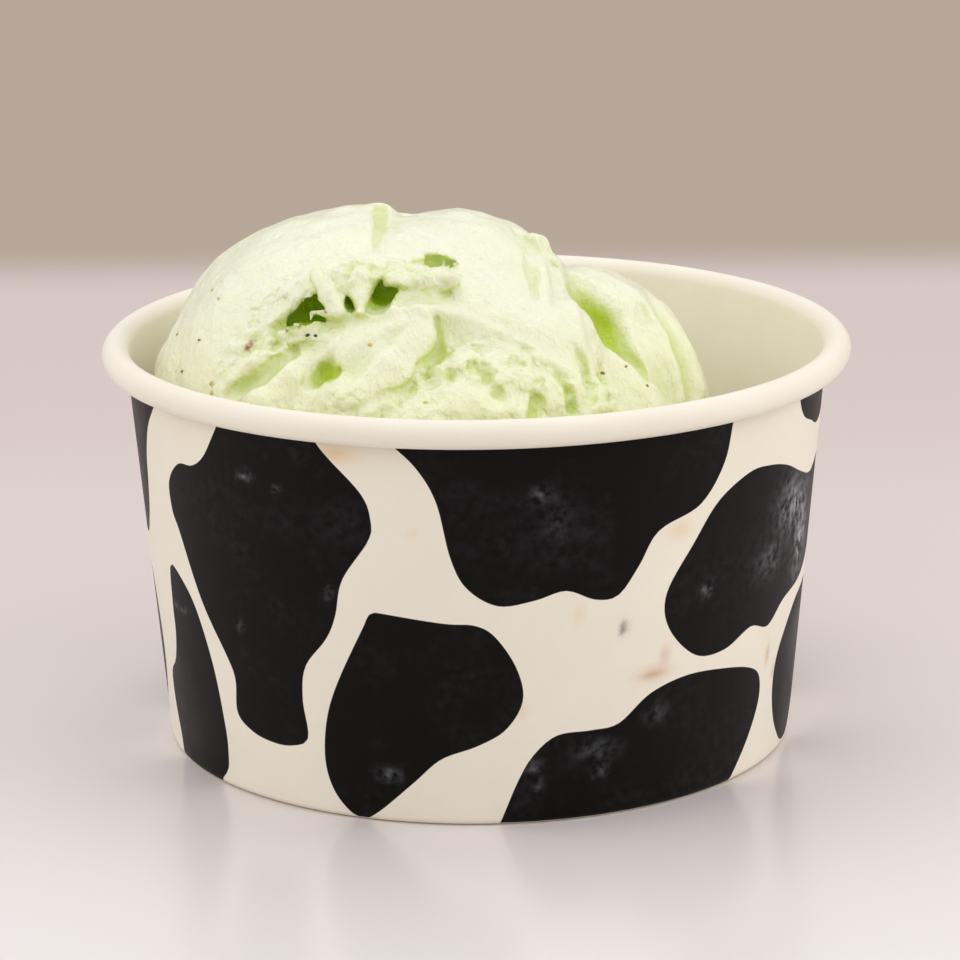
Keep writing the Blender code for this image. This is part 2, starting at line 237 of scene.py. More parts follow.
# Small marks that the cup has picked up, and patches of painted sheen on the black print: degrees and millimetres on
# the wall as above, the mark's half-width and half-height in millimetres, and its strength.
MARKS = {
    "cream_stain": [(-22.6, 44.6, 2.4, 1.0, 0.8), (34, 34, 1.6, 1.0, 0.5), (16.4, 25.6, 0.6, 1.2, 0.4),
                    (7.1, 14.2, 0.6, 0.8, 0.5), (-10.4, 35.8, 0.5, 0.5, 0.4)],
    "brown_stain": [(30.2, 16.9, 2.0, 0.7, 0.7), (32.4, 18.9, 0.6, 1.0, 0.5), (60, 14.4, 0.5, 1.2, 0.6),
                    (63.3, 11.7, 0.5, 1.0, 0.5)],
    "dark_speck": [(24.2, 23.2, 0.45, 0.7, 1.0)],
    # Partly real dust, specks and a scratch, and partly painted sheen, the broad, strong marks on the right-hand patch
    # most of all
    "dust_and_sheen": [(-39.6, 40.4, 0.8, 0.5, 1.0), (-33.4, 39.4, 0.7, 0.4, 0.7), (-24.7, 27.8, 0.5, 0.5, 0.7),
             (-43.9, 21.5, 0.6, 0.6, 0.5), (-15.9, 6, 1.4, 0.7, 0.7), (9.7, 40.2, 0.9, 0.9, 0.6),
             (12.3, 37.1, 1.4, 2.6, 0.15), (66, 32.4, 4.0, 3.0, 1.6), (72, 27, 2.4, 4.0, 2.2),
             (57.7, 26.6, 3.0, 2.0, 0.5), (40.6, 25.8, 0.7, 0.7, 0.9), (20.8, 5.8, 0.7, 0.5, 0.9),
             (20.4, 8.6, 2.6, 1.2, 0.3), (9, 7.3, 0.8, 0.6, 0.7), (10, 5, 0.5, 0.4, 0.9),
             (31, 12, 1.6, 1.4, 0.25), (-62.6, 20.4, 2.2, 0.3, 1.0)],
}
for name, marks in MARKS.items():
    strength = np.zeros(len(places))
    for degree, height, half_width, half_height, share in marks:
        across = (flat[:, 0] - degree * mm_per_degree) / half_width
        up = (flat[:, 1] - height) / half_height
        strength[printed] += share * np.exp(-(across**2 + up**2))
    paint(wall.data, name, strength)
bpy.ops.object.shade_smooth_by_angle(angle=radians(50))


def linear(sheet_colour):
    """An sRGB hex colour as the linear colour that a shader reads."""
    parts = [int(sheet_colour[i:i + 2], 16) / 255 for i in (1, 3, 5)]
    return (*[c / 12.92 if c <= 0.04045 else ((c + 0.055) / 1.055) ** 2.4 for c in parts], 1.0)


def add(tree, kind, sockets=None, **settings):
    """Add a node. A socket is given a value, or the node or output that feeds it."""
    made = tree.nodes.new("ShaderNode" + kind)
    for name, value in settings.items():
        setattr(made, name, value)
    for name, value in (sockets or {}).items():
        if isinstance(name, int):
            socket = made.inputs[name]
        else:
            socket = next(s for s in made.inputs if s.name == name and s.enabled)
        if isinstance(value, bpy.types.Node):
            value = next(s for s in value.outputs if s.enabled)
        if isinstance(value, bpy.types.NodeSocket):
            tree.links.new(value, socket)
        else:
            socket.default_value = value
    return made


def new_material(name):
    """An empty material, with its node tree and its shader."""
    material = bpy.data.materials.new(name)
    material.use_nodes = True
    return material, material.node_tree, material.node_tree.nodes["Principled BSDF"]


# White paperboard under a thin plastic film: a slightly creamy white with a soft, broad sheen and a faint tooth. The
# black is a flat ink under the same film. The bluish grey clouds and marks mixed into it are partly real dust, specks
# and a scratch, and partly painted sheen in place of the film's gloss.
board, tree, shader = new_material("film_coated_paperboard")
place = add(tree, "TexCoord").outputs["Object"]
edge = add(tree, "Attribute", attribute_name="ink_edge").outputs["Fac"]
ink = add(tree, "MapRange", {"Value": edge, "From Min": 0.04, "From Max": -0.04})
cloud = add(tree, "TexNoise", {"Vector": place, "Scale": 90.0, "Detail": 5.0, "Roughness": 0.65})
cloud = cloud.outputs["Fac"]
paper_tone = add(tree, "Mix", {"Factor": cloud, "A": linear("#ECE4D4"), "B": linear("#F5EEDF")}, data_type="RGBA")
fine_dust = add(tree, "TexNoise", {"Vector": place, "Scale": 900.0, "Detail": 2.0})
dust_and_sheen_marks = add(tree, "Attribute", attribute_name="dust_and_sheen").outputs["Fac"]
# Painted sheen mixed with real dust: the ink is lightened towards a bluish grey by a cloud and by the dust and sheen
# marks
dust_and_sheen = add(tree, "Math", {0: cloud, 1: 0.12, 2: -0.055}, operation="MULTIPLY_ADD")
dust_and_sheen = add(tree, "Math", {0: dust_and_sheen_marks, 1: 0.5, 2: dust_and_sheen}, operation="MULTIPLY_ADD", use_clamp=True)
grains = add(tree, "MapRange", {"Value": fine_dust.outputs["Fac"], "From Min": 0.35, "From Max": 0.7})
dust_and_sheen = add(tree, "Math", {0: dust_and_sheen, 1: grains}, operation="MULTIPLY")
ink_tone = add(tree, "Mix", {"Factor": dust_and_sheen, "A": linear("#0F0D0C"), "B": linear("#A9ADB4")}, data_type="RGBA")
cream_stain = add(tree, "Attribute", attribute_name="cream_stain").outputs["Fac"]
brown_stain = add(tree, "Attribute", attribute_name="brown_stain").outputs["Fac"]
stained = add(tree, "Mix", {"Factor": cream_stain, "A": paper_tone, "B": linear("#E8C79A")}, data_type="RGBA")
stained = add(tree, "Mix", {"Factor": brown_stain, "A": stained, "B": linear("#C79468")}, data_type="RGBA")
speck = add(tree, "Attribute", attribute_name="dark_speck").outputs["Fac"]
stained = add(tree, "Mix", {"Factor": speck, "A": stained, "B": linear("#5E5850")}, data_type="RGBA")
print_tone = add(tree, "Mix", {"Factor": ink, "A": stained, "B": ink_tone}, data_type="RGBA")
tree.links.new(print_tone.outputs[2], shader.inputs["Base Color"])
gloss = add(tree, "MapRange", {"Value": cloud, "From Min": 0.3, "From Max": 0.75, "To Min": 0.34, "To Max": 0.5})
tree.links.new(gloss.outputs[0], shader.inputs["Roughness"])
shader.inputs["Specular IOR Level"].default_value = 0.08
fibre = add(tree, "TexNoise", {"Vector": place, "Scale": 1400.0, "Detail": 2.0})
tooth = add(tree, "Bump", {"Strength": 0.25, "Distance": 0.00004, "Height": fibre.outputs["Fac"]})
ripple = add(tree, "TexNoise", {"Vector": place, "Scale": 160.0, "Detail": 1.0})
film = add(tree, "Bump", {"Strength": 0.3, "Distance": 0.00012, "Height": ripple.outputs["Fac"], "Normal": tooth})
tree.links.new(film.outputs[0], shader.inputs["Normal"])
wall.data.materials.append(board)
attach(wall, "root")
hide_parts("cup_wall")

# -------------------------------------------------------------- the cup's bottom
# The bottom is a separate disc of the same board, pressed into a shallow dish whose skirt
# is glued between the wall and the hem. It hangs clear of the table, so its uncoated
# underside keeps the raw, warm grey tone of the board.
raw_board, tree, shader = new_material("uncoated_paperboard")
place = add(tree, "TexCoord").outputs["Object"]
fibre = add(tree, "TexNoise", {"Vector": place, "Scale": 1400.0, "Detail": 3.0, "Roughness": 0.6})
cloud = add(tree, "TexNoise", {"Vector": place, "Scale": 60.0, "Detail": 4.0})
tone = add(tree, "Mix", {"Factor": cloud.outputs["Fac"], "A": linear("#DDD4C3"), "B": linear("#EAE2D3")},
           data_type="RGBA")
flecked = add(tree, "Mix", {"Factor": 0.12, "A": tone, "B": fibre.outputs["Color"]}, data_type="RGBA",
              blend_type="SOFT_LIGHT")
tree.links.new(flecked.outputs[2], shader.inputs["Base Color"])
tooth = add(tree, "Bump", {"Strength": 0.4, "Distance": 0.00005, "Height": fibre.outputs["Fac"]})
tree.links.new(tooth.outputs[0], shader.inputs["Normal"])
shader.inputs["Roughness"].default_value = 0.72
for slot in frame["nodes"]["cup_base"].material_slots:
    slot.material = raw_board

# ------------------------------------------------------------------- the gelato
# Pistachio gelato is paddled out of its tub with a flat spade and pressed into the cup,
# fold over fold. It tears where the spade lets go, and it is slick and smooth where the
# spade has wiped it. It is grown here as one solid from strings of beads, in millimetres,
# because its overhangs and caves can't be drawn out of a primitive.
CAP = ((-14.0, -1.0, 37.3), (26.0, 26.5, 27.3))
CAP_UNDERSIDE = [
    (-26.5, -25.5, 47.5, 4.6), (-22.0, -26.0, 50.0, 7.4), (-15.0, -25.8, 50.6, 8.2),
    (-8.0, -24.6, 50.6, 8.4), (-2.0, -22.6, 50.4, 7.2), (3.0, -20.0, 50.0, 4.0),
]
CORE = ((-6.5, 0.0, 28.0), (32.0, 33.0, 24.0))
FRONT = ((-6.0, -12.0, 32.5), (24.5, 18.0, 19.0))
PEAK = [(-3.2, 2.0, 46.6, 17.0), (10.2, -5.0, 30.6, 14.9)]
SUMMIT_STEP = [(-8.2, 12, 67.0, 2.6), (-8.4, 2, 66.9, 2.6), (-10.0, -5, 65.6, 2.0), (-11.6, -10.5, 63.2, 0.5)]
# The tongues that the spade has laid up the front, side by side, from the rim to the cave
TONGUES = [
    [(-13.6, -16.6, 51.0, 5.0), (-15.6, -18.6, 48.6, 5.2), (-18.2, -20.6, 44.6, 5.2)],
    [(-9.1, -16.4, 52.0, 5.2), (-11.0, -19.0, 49.0, 5.4), (-14.0, -21.8, 45.0, 5.4)],
]
PILLOWS = [
    [(-20.0, -20.0, 49.9, 2.2), (-21.8, -21.4, 48.6, 2.8), (-23.9, -22.2, 46.2, 3.2)],
    [(-28.2, -18.6, 44.9, 3.2), (-26.9, -19.0, 47.4, 3.0), (-24.8, -19.6, 49.3, 2.8), (-22.8, -19.9, 50.2, 2.2)],
]
FILMS = [
    [(-14.8, -18.4, 56.3, 0.4), (-11.3, -17.9, 56.4, 0.5), (-9.4, -17.9, 57.0, 0.5), (-7.4, -17.5, 57.0, 0.5),
     (-5.6, -17.2, 55.9, 0.5)],
]
CREST = [(10.8, -5.7, 53.5, 1.0), (12.0, -7.6, 51.2, 1.3), (12.3, -9.7, 49.6, 1.2), (13.3, -11.7, 47.8, 1.4),
         (13.8, -13.6, 46.0, 1.2), (14.3, -16.3, 44.5, 1.3)]
SHELF = [(-25.8, -17.6, 50.8, 2.2), (-22.4, -18.2, 51.8, 2.6), (-19.2, -18.6, 51.8, 2.6), (-16.6, -18.4, 52.2, 2.1)]
MIDDLE = [
    [(-2.8, -20.2, 47.4, 4.0), (3.0, -19.8, 46.6, 4.2), (9.0, -18.0, 44.8, 4.2), (13.6, -16.2, 42.4, 3.6)],
    [(-8.0, -24.0, 43.2, 4.2), (-2.5, -21.8, 45.6, 4.2), (4.0, -21.4, 44.2, 4.2)],
    [(-10.0, -25.8, 39.8, 4.0), (2.0, -25.2, 39.8, 4.4)],
]
# The edge of the peak's skirt, which laps thinly over the torn middle
SKIRT = [(-4.4, -15.6, 54.4, 0.9), (1.4, -16.0, 52.0, 1.1), (8.2, -15.8, 48.6, 1.1), (13.4, -16.4, 46.0, 0.9)]
FLANK_RIDGES = [
    [(-7.0, -7.5, 51.5, 9.0), (-1.0, -8.8, 49.5, 9.6), (6.0, -9.0, 46.0, 9.6)],
    [(4.3, -1, 56.5, 3.0), (5.4, -6, 54.2, 3.0), (7.4, -12, 49.6, 3.2), (10.0, -17, 44.0, 3.2)],
    [(8.8, 1.5, 53.2, 2.4), (11.0, -5, 49.6, 2.9), (12.6, -10, 46.4, 3.1), (14.6, -15, 41.8, 3.2)],
    [(11.6, -1, 49.6, 2.2), (15.8, -4, 46.2, 3.0), (19.6, -7, 41.0, 3.2), (21.5, -10, 35.0, 3.4)],
]
NUBS = [[(6.8, 1.2, 60.0, 1.0), (7.8, 1.0, 59.3, 1.4), (9.2, 0.4, 57.6, 1.2)]]
BACK_FOLDS = [
    [(-3, 9, 50.5, 9.0), (0, 17, 42, 11.0), (2, 19, 30, 12.0)],
    [(-19, 8, 49.0, 10.0), (-21, 14, 40, 12.0), (-20, 16, 30, 13.0)],
]
LOBE = ((11.5, 7.5, 38.0), (16.6, 17.0, 17.2))
LOBE_ENDS = [(5.0, 17.0, 35.0, 13.5), (13.0, 6.0, 33.0, 15.0), (15.5, -5.0, 29.0, 12.5)]
VALLEY = [
    [(11, 2.5, 55, 0.9), (12, 1, 54, 1.6), (13, -1, 52.5, 2.3), (14, -2, 51, 2.6), (16, -3.5, 49.5, 2.1),
     (17.5, -4.5, 47.5, 1.4), (19.5, -4.5, 46, 0.8), (20.5, -5, 44.5, 0.5)],
]
TROUGHS = [
    [(12, 2, 55, 2.6), (12.5, -1, 53.5, 4), (14.5, -2.5, 51.5, 4.2), (16, -4, 50, 3.6), (18, -5, 48.5, 2.8),
     (19.5, -5, 46.5, 2), (20.5, -7.5, 44.5, 1.2)],
    [(-8, 6, 64.5, 2.6), (-9, 0, 64, 2), (-10, -7, 63.5, 1.7), (-11, -11.5, 62, 1)],
    [(-10.5, -21.5, 54, 1.4), (-11.5, -22.5, 53, 1.9), (-13, -23, 52, 2), (-14.5, -24, 50.5, 1.6)],
    [(5.5, 2, 61.5, 1.2), (6.5, -1, 60.5, 1.8), (7, -4, 59, 1.6), (7, -7.5, 57, 1.3)],
    [(9, -2, 57.5, 1), (9.5, -4.5, 56, 1.4), (9.5, -10.5, 55, 1)],
    [(20, 2, 52, 1.2), (20, 0, 50.5, 2.2), (21, -1, 49.5, 1)],
    [(21.5, 6, 51.5, 1.6), (23.5, 3, 49.5, 3.2), (25, 1.5, 46, 3.2), (26, 0, 41.5, 3)],
    [(18.5, -1, 51, 1.2), (20.5, -2.5, 48, 2.4), (22, -3.5, 45, 2.6), (23, -4.5, 42, 2.4)],
    [(-16.5, -22.5, 52, 1.2), (-17.5, -23, 51, 2.4), (-18.5, -23.5, 49.5, 2)],
    [(-27.5, -19, 52, 0.8), (-28.5, -20, 50.5, 1.2), (-29.5, -20, 48.5, 1.2)],
    [(11.5, -15, 51, 0.8), (12.5, -16, 48, 1.3), (13, -19.5, 46, 1.4)],
]
CREASES = [
    [(-4.5, -17.5, 55, 0.3), (-4, -18, 53.5, 0.6), (-4, -18.5, 52, 0.6), (-5, -20, 51, 0.6),
     (-7, -22, 50.5, 0.4), (-8, -23.5, 49, 0.5), (-9.5, -24.5, 48.5, 0.5), (-11.5, -26, 47.5, 0.4),
     (-14.5, -27, 46.5, 0.3)],
    [(-18.5, -20.5, 53, 0.4), (-21, -20.5, 52, 0.7), (-22.5, -21.5, 51.5, 0.9), (-23.5, -22.5, 50.5, 1),
     (-25, -23, 49.5, 1.1), (-27, -22, 48, 1.1), (-29, -21.5, 47, 0.6)],
    [(-27.5, -19.5, 51.5, 0.4), (-26, -20, 52, 0.8), (-23.5, -20.5, 53, 0.5)],
    [(0, -22, 50.5, 0.9), (1.5, -23, 49.5, 0.9)],
    [(3, -21.5, 50.5, 0.4), (5.5, -20.5, 50, 0.7)],
    [(1.5, -23.5, 49, 0.4), (2.5, -24, 48, 0.9), (3.5, -25, 47, 0.4)],
    [(7.5, -21, 49, 0.5), (7, -23, 47, 1.1), (6.5, -24.5, 45, 1.2)],
    [(9.5, -19.5, 49, 0.3), (11, -20.5, 47.5, 0.6), (11.5, -21.5, 45.5, 0.5)],
    [(-11, 1.5, 64.5, 0.9), (-11, -6, 64, 1), (-11.5, -11.5, 62.5, 0.4)],
    [(-8, -20.5, 55, 0.3), (-9.5, -21.5, 54, 0.6), (-11, -22.5, 53, 0.7), (-12.5, -23.5, 52, 0.7),
     (-14, -24.5, 50, 0.4)],
    [(-17, -24, 49.5, 0.5), (-17, -23.5, 50.5, 1.3), (-17, -22.5, 51.5, 0.8)],
    [(6.5, -2.5, 60, 0.4), (6.5, -6, 58, 0.7), (7, -11, 56, 0.4)],
    [(-3.5, -22, 50.5, 0.3), (-3, -23, 50, 0.7), (-1.5, -23, 50, 0.3)],
]
RIDGES = [
    [(-2, -17, 55.5, 0.5), (3, -17, 53, 0.9), (8, -18, 50.5, 1), (13, -18.5, 47, 0.8)],
    [(10.5, -6, 54.5, 1), (12, -12.5, 53, 1.4), (12, -14.5, 50.5, 1.6), (13.5, -14.5, 48.5, 1.6),
     (14, -16.5, 46.5, 1.5), (14.5, -19, 45, 1.4)],
    [(8, -2.5, 58.5, 1), (8, -6, 56.5, 1.6), (8, -12, 55, 1)],
    [(-17, -20, 55.5, 0.5), (-15, -19.5, 56.5, 0.8), (-11.5, -19.5, 56.5, 0.8), (-8.5, -18.5, 57, 0.9),
     (-6.5, -18.5, 56.5, 1), (-5, -18.5, 55, 0.8)],
    [(-27, -21, 50.5, 1), (-25.5, -21.5, 51, 1.6), (-24, -21.5, 51.5, 1.2)],
    [(-21, -24, 50, 0.5), (-20, -23.5, 49.5, 0.8), (-18.5, -24, 49.5, 0.9), (-16, -24.5, 49.5, 0.6)],
    [(19, 3.5, 52.5, 0.8), (22, 1, 49.5, 1.6), (24, -1, 45.5, 1.6), (24.5, -3, 41.5, 1.6)],
    [(24.5, 7.5, 48.5, 0.8), (26, 5, 45.5, 1.5), (27.5, 3, 41, 1.5)],
]
# The cave under the cap's torn lip, whose roof hangs in teeth, and the pocket by the tongues
CAVE = [
    [(-26.4, -19.2, 52.4, 0.4), (-24.8, -18.8, 54.0, 0.7), (-22.6, -18.6, 54.9, 1.1), (-20.2, -18.2, 55.6, 1.6),
     (-18.0, -17.2, 55.9, 2.0), (-17.4, -14.8, 56.2, 1.9)],
    [(-14.4, -19.0, 57.0, 0.7), (-14.2, -16.4, 57.4, 1.0)],
    [(-11.6, -18.6, 57.6, 1.6), (-11.0, -16.6, 58.2, 1.6), (-10.8, -14.6, 58.2, 1.7)],
    [(-8.6, -18.4, 57.9, 1.1), (-5.0, -17.2, 57.5, 1.1), (-1.8, -16.2, 57.1, 0.6)],
    [(-6.8, -12.4, 60.5, 0.5), (-5.4, -12.0, 60.1, 0.9), (-4.2, -11.8, 59.8, 0.4), (-2.8, -11.6, 59.8, 0.6)],
    [(-22.6, -16.4, 54.4, 0.9), (-20.6, -15.8, 55.4, 1.4), (-18.6, -15.0, 55.9, 1.7)],
    [(-5.8, -10.8, 60.0, 0.8), (-4.6, -10.4, 59.8, 0.9), (-3.0, -10.4, 59.5, 0.6)],
    [(-19.4, -23.6, 48.8, 0.6), (-18.3, -22.9, 49.3, 0.9), (-17.3, -22.3, 50.0, 1.1), (-16.8, -22.2, 50.9, 0.6)],
    [(-17.3, -22.6, 49.8, 0.8), (-15.8, -22.7, 49.8, 0.5)],
]
TEETH = [
    [(-18.8, -16.4, 59.6, 0.9), (-17.2, -17.8, 58.0, 1.2), (-15.9, -18.6, 56.2, 1.2)],
    [(-13.4, -15.6, 59.6, 1.6), (-13.5, -17.4, 58.0, 1.1), (-13.4, -18.8, 56.4, 0.4)],
    [(-10.2, -15.4, 60.0, 0.9), (-8.3, -15.8, 59.3, 1.2), (-5.8, -15.4, 59.0, 1.3), (-3.4, -14.4, 58.8, 1.1)],
]
# Where the gelato is torn and crumbly: the cap's lip, the shelf, the left foot, the middle
TORN = [
    [(-28.5, -19.5, 50.5, 1.2), (-25.5, -18.6, 55.0, 2.0), (-21.5, -17.4, 58.6, 2.4)],
    [(-16.5, -16.0, 60.5, 1.8), (-10.5, -16.0, 60.0, 1.8), (-4.0, -14.5, 59.4, 1.8)],
    [(-26.0, -20.0, 52.4, 1.4), (-22.0, -20.5, 54.0, 1.8), (-18.4, -20.5, 54.4, 1.4)],
    [(-12.0, -28.0, 44.0, 1.2), (-6.5, -25.0, 48.0, 1.6), (-1.5, -21.0, 51.4, 2.2), (4.5, -20.5, 49.5, 3.2),
     (8.5, -20.5, 46.0, 3.4), (12.5, -18.5, 44.5, 2.6), (16.0, -17.0, 43.5, 1.6)],
    [(-8.0, -28.0, 42.0, 3.0), (2.0, -27.5, 42.5, 3.6)],
    [(-22.0, -26.5, 46.5, 1.0), (-18.0, -27.0, 47.0, 1.4), (-14.5, -26.6, 47.6, 1.2)],
    [(6.6, 0.2, 59.6, 1.0), (8.6, -0.2, 57.4, 1.0)],
    [(11.4, -7.5, 52.8, 0.8), (13.8, -14.0, 46.8, 1.2)],
]
# Where it was drawn out in streaks as the spade slid by: a string, and the way it slid
STREAKS = [
    ([(14.0, 8.0, 50.0, 9.0), (20.0, 1.0, 42.0, 10.0)], (0.50, -0.49, -0.71), 1.7, 0.30),
    ([(6.0, -3.0, 52.0, 7.0), (13.0, -9.0, 44.0, 7.0)], (0.25, -0.50, -0.83), 2.4, 0.30),
    ([(-12.0, -20.0, 51.0, 4.5), (-16.0, -24.0, 47.0, 4.0)], (-0.50, -0.45, -0.74), 1.5, 0.12),
]
TORN_FADE = 1.8
NUT_STAIN = [[(-26.5, -18.9, 52.1, 0.0), (-25.8, -18.5, 52.7, 0.1)]]
FILL_LEVEL = 30.0
FILL_LEAN = 0.17
FILL_BANK = 0.0035
FILL_WAVE = 0.6
PITCH = 0.45
COARSE = 4
BAND = 3.0
GRID_LOW = np.array((-42.0, -42.0, 22.2))
GRID_HIGH = np.array((42.0, 42.0, 67.68))
WALL_CLEARANCE = 0.03
BOTTOM_CLEARANCE = 0.35


def ellipsoid(points, centre, halves):
    """Near distance from each point to an ellipsoid, below zero inside it."""
    scaled = (points - np.array(centre)) / np.array(halves)
    reach = np.linalg.norm(scaled, axis=1)
    slope = np.linalg.norm(scaled / np.array(halves), axis=1)
    return reach * (reach - 1) / np.maximum(slope, 1e-9)


def bead(points, string):
    """Distance from each point to a string of tapering round beads."""
    nearest = np.full(len(points), np.inf)
    for (*start, start_radius), (*end, end_radius) in zip(string, string[1:]):
        along = np.subtract(end, start)
        share = np.clip((points - start) @ along / (along @ along), 0, 1)
        away = np.linalg.norm(points - start - share[:, None] * along, axis=1)
        nearest = np.minimum(nearest, away - start_radius - share * (end_radius - start_radius))
    return nearest


def beads(points, strings):
    return np.minimum.reduce([bead(points, string) for string in strings])


def blended(a, b, width):
    """The lower of two distances, with a fillet of about the width where they meet."""
    share = np.clip(0.5 + 0.5 * (b - a) / width, 0, 1)
    return b + share * (a - b) - width * share * (1 - share)


def carved(a, tool, width):
    """What is left of a solid when the tool's shape is taken from it."""
    return -blended(-a, tool, width)


LATTICE = np.random.default_rng(11).uniform(-1, 1, (32, 32, 32))


def lumps(points, size, shift=0.0):
    """Smooth random hills and hollows from -1 to 1, with a given size in millimetres."""
    place = points / size + 57.3 + shift
    low = np.floor(place).astype(int)
    share = place - low
    share = share * share * (3 - 2 * share)
    near, far = low & 31, (low + 1) & 31
    total = 0.0
    for i in (0, 1):
        for j in (0, 1):
            for k in (0, 1):
                corner = [far[:, a] if side else near[:, a] for a, side in enumerate((i, j, k))]
                weight = 1.0
                for a, side in enumerate((i, j, k)):
                    weight = weight * (share[:, a] if side else 1 - share[:, a])
                total = total + weight * LATTICE[corner[0], corner[1], corner[2]]
    return total


def pebbles(points, size):
    """Rounded lumps with creases between them: the distance to the nearest of many seeds."""
    place = points / size + 41.7
    home = np.floor(place).astype(int)
    nearest = np.full(len(points), 9.0)
    for step in np.ndindex(3, 3, 3):
        cell = home + np.array(step) - 1
        key = [cell[:, a] & 31 for a in range(3)]
        seed = np.stack([LATTICE[key[0], key[1], key[2]], LATTICE[key[1], key[2], key[0]],
                         LATTICE[key[2], key[0], key[1]]], axis=1) * 0.5 + 0.5
        nearest = np.minimum(nearest, np.linalg.norm(cell + seed - place, axis=1))
    return nearest


def share_near(points, strings, fade):
    """One on and inside strings of beads, falling to nothing over a distance."""
    reach = 1 - np.clip(beads(points, strings) / fade, 0, 1)
    return reach * reach * (3 - 2 * reach)


def massed(points):
    """Distances to the scoops, tongues and torn lumps, and to the lobe, before any caves."""
    cap = carved(ellipsoid(points, *CAP), bead(points, CAP_UNDERSIDE), 0.8)
    lower = blended(ellipsoid(points, *CORE), ellipsoid(points, *FRONT), 4.0)
    lower = blended(lower, blended(bead(points, TONGUES[0]), bead(points, TONGUES[1]), 1.5), 1.5)
    lower = blended(lower, beads(points, PILLOWS), 0.8)
    lower = blended(lower, bead(points, SHELF), 0.5)
    peak = blended(bead(points, PEAK), beads(points, FLANK_RIDGES), 2.0)
    peak = blended(peak, beads(points, MIDDLE), 2.5)
    peak = blended(peak, beads(points, NUBS), 0.5)
    body = blended(blended(cap, peak, 1.5), lower, 1.2)
    body = blended(body, beads(points, BACK_FOLDS), 1.5)
    lobe = blended(ellipsoid(points, *LOBE), bead(points, LOBE_ENDS), 3.0)
    return blended(body, lobe, 1.2)


def laid(strings):
    """Strings of beads in short steps, each moved onto the surface of the whole scoops."""
    result = []
    for string in strings:
        steps = []
        for start, end in zip(np.array(string), np.array(string)[1:]):
            count = max(1, round(np.linalg.norm(end[:3] - start[:3]) / 1.5))
            steps += [start + (end - start) * step / count for step in range(count)]
        steps = np.array(steps + [string[-1]])
        for _ in range(6):
            here = massed(steps[:, :3])
            slope = np.stack([massed(steps[:, :3] + 0.1 * axis) - here for axis in np.eye(3)], axis=1) / 0.1
            steps[:, :3] -= slope * (here / np.maximum((slope**2).sum(axis=1), 0.25))[:, None]
        result.append([tuple(step) for step in steps])
    return result


laid_troughs, laid_creases, laid_ridges = laid(TROUGHS), laid(CREASES), laid(RIDGES)


def pressed(points, strings):
    """How deep beads laid on the surface press it in, in a soft trough."""
    reach = np.clip(-beads(points, strings), 0, None)
    return reach * reach / (reach + 1)


def mound(points):
    """Distance to the gelato above the rim, with its troughs, creases, caves and valley."""
    body = massed(points) + pressed(points, laid_troughs) - pressed(points, laid_ridges)
    body = carved(body, beads(points, laid_creases), 0.4)
    body = carved(body, beads(points, CAVE), 0.5)
    body = blended(body, beads(points, TEETH), 0.5)
    return carved(body, beads(points, VALLEY), 0.8)


def gelato_distance(points):
    """The mound with its surface, joined to the fill below it and held by the cup."""
    torn = share_near(points, TORN, TORN_FADE)
    drift = np.stack([lumps(points, 7.0, s) for s in (0.0, 9.1, 17.4)], axis=1) * 0.4
    drift += np.stack([lumps(points, 2.3, s) for s in (4.2, 12.8, 22.6)], axis=1) * (0.18 + 0.35 * torn[:, None])
    x, y, z = points.T
    level = FILL_LEVEL - FILL_LEAN * x + FILL_BANK * y**2
    level += FILL_WAVE * (np.sin(x * 0.23 + 1) + np.cos(y * 0.31))
    solid = blended(mound(points + drift), z - level, 3.0)
    solid += 0.15 * lumps(points, 3.6) + 0.08 * lumps(points, 1.6)
    for string, way, width, height in STREAKS:
        marked = share_near(points, [string], 2.0)
        along = np.array(way) / np.linalg.norm(way)
        slid = points - 0.88 * (points @ along)[:, None] * along
        solid += height * marked * lumps(slid + 0.3 * drift, width, 3.3)
    rough = np.flatnonzero(torn > 0.01)
    if len(rough):
        spots = points[rough] + 0.6 * drift[rough]
        crumbs = 0.34 * pebbles(spots, 1.7) + 0.26 * pebbles(spots, 0.85)
        crumbs -= 0.3 * np.abs(lumps(spots, 1.5)) + 0.16 * lumps(spots, 0.8)
        solid[rough] += torn[rough] * (crumbs - 0.2)
    wall_gap = np.hypot(x, y) - inner_radius(z) + WALL_CLEARANCE
    return np.maximum(solid, wall_gap)


